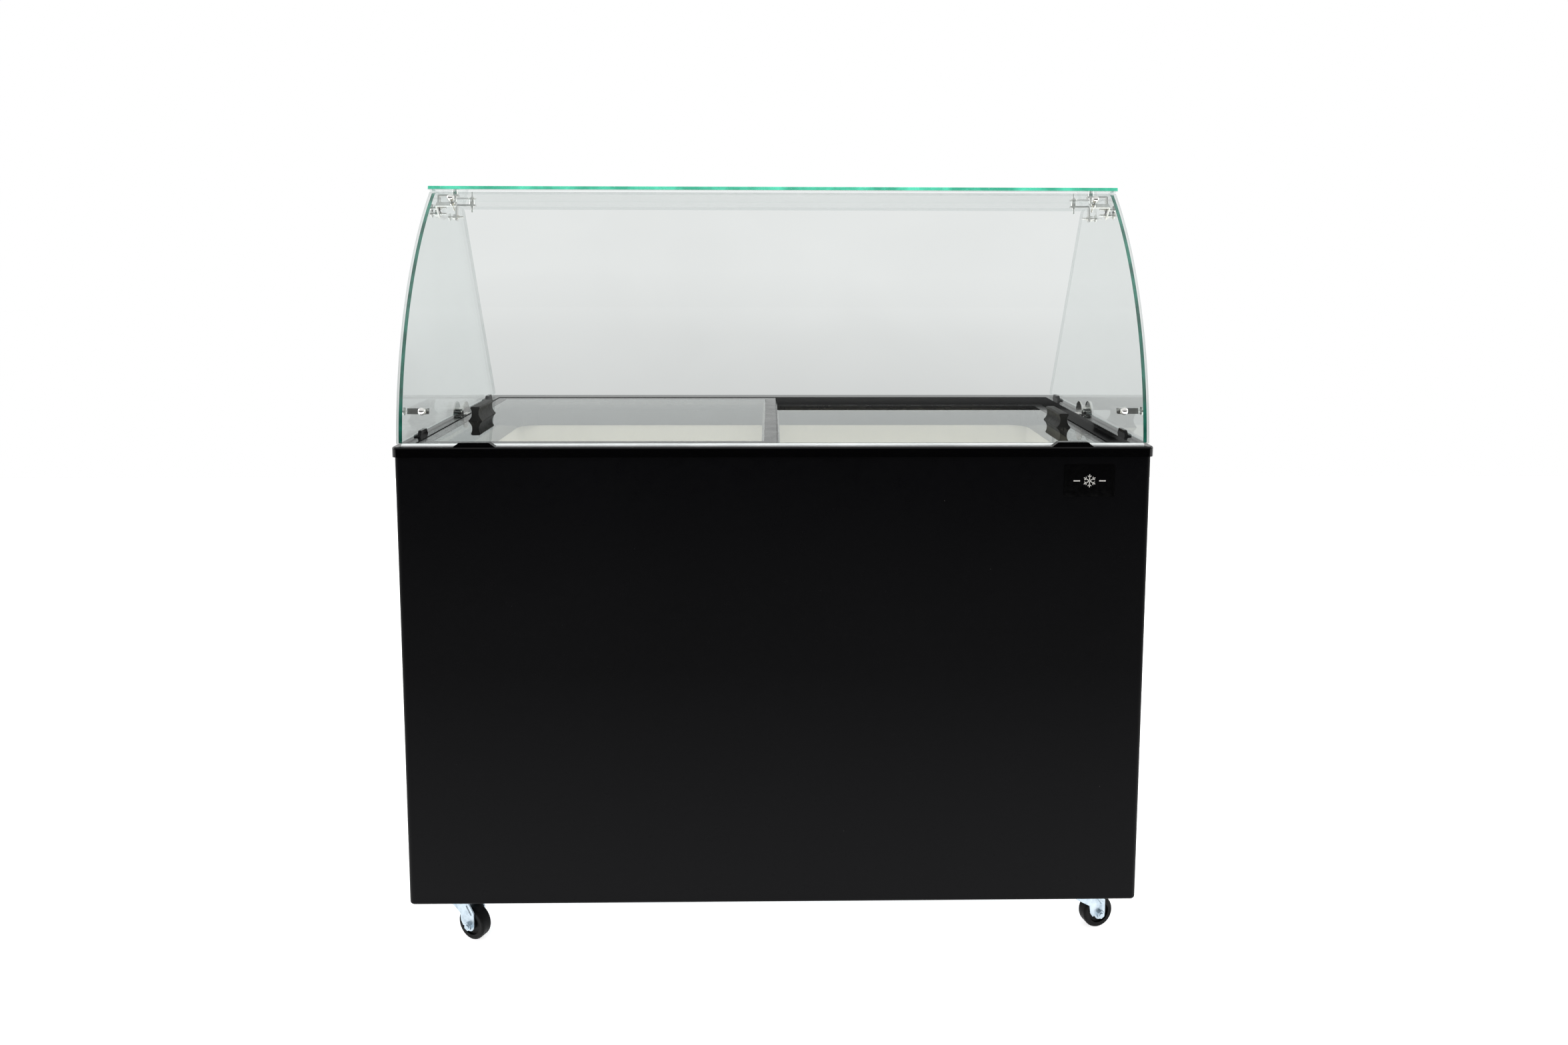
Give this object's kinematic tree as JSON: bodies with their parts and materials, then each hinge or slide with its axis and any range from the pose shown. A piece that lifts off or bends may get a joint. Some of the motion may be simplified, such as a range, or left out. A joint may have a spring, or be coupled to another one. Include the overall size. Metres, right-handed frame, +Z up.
{
  "type": "chest freezer",
  "caption": "Counter-service chest freezer on swivel casters, with sliding glass lids under a curved glass sneeze guard that is open on the operator's side.",
  "frame": {"origin": "on the floor, under the centre of the cabinet's plan", "axes": "+X to the customer's right along the long side, +Y towards the operator's side (the back), +Z up"},
  "size_m": [1.265, 0.62, 1.3182],
  "materials": {
    "body_black": "satin",
    "galvanised_steel": "satin",
    "liner_white": "satin",
    "insulation_foam": "matte",
    "copper_pipe": "satin",
    "frame_black": "gloss",
    "fitting_black": "gloss",
    "lid_frame_black": "gloss",
    "lid_glass": "gloss",
    "handle_grey": "matte",
    "canopy_glass": "gloss",
    "seal_clear": "satin",
    "chrome_fitting": "polished",
    "rubber_black": "matte",
    "badge_black": "gloss",
    "zinc_steel": "satin",
    "wheel_black": "satin",
    "compressor_black": "gloss",
    "fan_plastic": "matte",
    "motor_steel": "satin",
    "grille_black": "satin",
    "panel_grey": "matte",
    "knob_black": "satin",
    "lamp_green": "gloss",
    "gland_black": "matte",
    "pipe_white": "matte"
  },
  "bodies": {
    "cabinet": {"outer_wrap": "body_black", "back_panel": "body_black", "base_pan": "galvanised_steel", "inner_liner": "liner_white", "foam_insulation": "insulation_foam", "evaporator_coil": "copper_pipe", "refrigerant_pipes": "copper_pipe", "filter_drier": "copper_pipe", "top_frame_front": "frame_black", "top_frame_back": "frame_black", "top_frame_left": "frame_black", "top_frame_right": "frame_black", "top_frame_corners": "frame_black", "front_glass_shoes": "fitting_black", "side_glass_clips": "fitting_black", "front_glass": "canopy_glass", "top_glass": "canopy_glass", "side_glass_left": "canopy_glass", "side_glass_right": "canopy_glass", "front_glass_seal": "seal_clear", "glass_brackets": "chrome_fitting", "bracket_fixings": "chrome_fitting", "glass_clamps": "chrome_fitting", "clamp_pads": "rubber_black", "compressor_feet": "rubber_black", "badge_plate": "badge_black", "caster_plates": "zinc_steel", "caster_screws": "zinc_steel", "compressor": "compressor_black", "condenser_coil": "compressor_black", "fan_shroud": "fan_plastic", "fan_motor": "motor_steel", "rear_grille": "grille_black", "control_panel": "panel_grey", "thermostat_body": "panel_grey", "pilot_lamp": "lamp_green", "cable_gland": "gland_black", "drain_tube": "pipe_white"},
    "left_lid": {"lid_left_frame": "lid_frame_black", "lid_left_glass": "lid_glass", "lid_left_handle": "handle_grey"},
    "right_lid": {"lid_right_frame": "lid_frame_black", "lid_right_glass": "lid_glass", "lid_right_handle": "handle_grey"},
    "fork_front_left": {"caster_front_left_fork": "zinc_steel", "caster_front_left_axle": "zinc_steel"},
    "wheel_front_left": {"caster_front_left_wheel": "wheel_black"},
    "fork_front_right": {"caster_front_right_fork": "zinc_steel", "caster_front_right_axle": "zinc_steel"},
    "wheel_front_right": {"caster_front_right_wheel": "wheel_black"},
    "fork_back_left": {"caster_back_left_fork": "zinc_steel", "caster_back_left_axle": "zinc_steel"},
    "wheel_back_left": {"caster_back_left_wheel": "wheel_black"},
    "fork_back_right": {"caster_back_right_fork": "zinc_steel", "caster_back_right_axle": "zinc_steel"},
    "wheel_back_right": {"caster_back_right_wheel": "wheel_black"},
    "fan": {"fan_blade": "fan_plastic"},
    "knob": {"thermostat_knob": "knob_black"},
    "plug": {"drain_plug": "rubber_black"}
  },
  "joints": [
    {"name": "left_lid_slide", "type": "slide", "parent": "cabinet", "child": "left_lid", "axis": [1, 0, 0], "range_m": [0, 0.535]},
    {"name": "right_lid_slide", "type": "slide", "parent": "cabinet", "child": "right_lid", "axis": [1, 0, 0], "range_m": [-0.535, 0]},
    {"name": "swivel_front_left", "type": "hinge", "parent": "cabinet", "child": "fork_front_left", "pos_m": [-0.55, -0.26, 0.068], "axis": [0, 0, 1], "continuous": true},
    {"name": "roll_front_left", "type": "hinge", "parent": "fork_front_left", "child": "wheel_front_left", "pos_m": [-0.52616, -0.27268, 0.0285], "axis": [0.4695, 0.8829, 0], "continuous": true},
    {"name": "swivel_front_right", "type": "hinge", "parent": "cabinet", "child": "fork_front_right", "pos_m": [0.55, -0.26, 0.068], "axis": [0, 0, 1], "continuous": true},
    {"name": "roll_front_right", "type": "hinge", "parent": "fork_front_right", "child": "wheel_front_right", "pos_m": [0.57595, -0.25256, 0.0285], "axis": [-0.2756, 0.9613, 0], "continuous": true},
    {"name": "swivel_back_left", "type": "hinge", "parent": "cabinet", "child": "fork_back_left", "pos_m": [-0.55, 0.26, 0.068], "axis": [0, 0, 1], "continuous": true},
    {"name": "roll_back_left", "type": "hinge", "parent": "fork_back_left", "child": "wheel_back_left", "pos_m": [-0.57338, 0.2735, 0.0285], "axis": [-0.5, -0.866, 0], "continuous": true},
    {"name": "swivel_back_right", "type": "hinge", "parent": "cabinet", "child": "fork_back_right", "pos_m": [0.55, 0.26, 0.068], "axis": [0, 0, 1], "continuous": true},
    {"name": "roll_back_right", "type": "hinge", "parent": "fork_back_right", "child": "wheel_back_right", "pos_m": [0.57068, 0.27736, 0.0285], "axis": [-0.6428, 0.766, 0], "continuous": true},
    {"name": "fan_spin", "type": "hinge", "parent": "cabinet", "child": "fan", "pos_m": [0.475, 0.233, 0.2], "axis": [0, 1, 0], "continuous": true},
    {"name": "knob_turn", "type": "hinge", "parent": "cabinet", "child": "knob", "pos_m": [0.4, 0.3, 0.35], "axis": [0, -1, 0], "range_deg": [0, 270]},
    {"name": "plug_pull", "type": "slide", "parent": "cabinet", "child": "plug", "axis": [0, 0, 1], "range_m": [0, 0.04]}
  ]
}
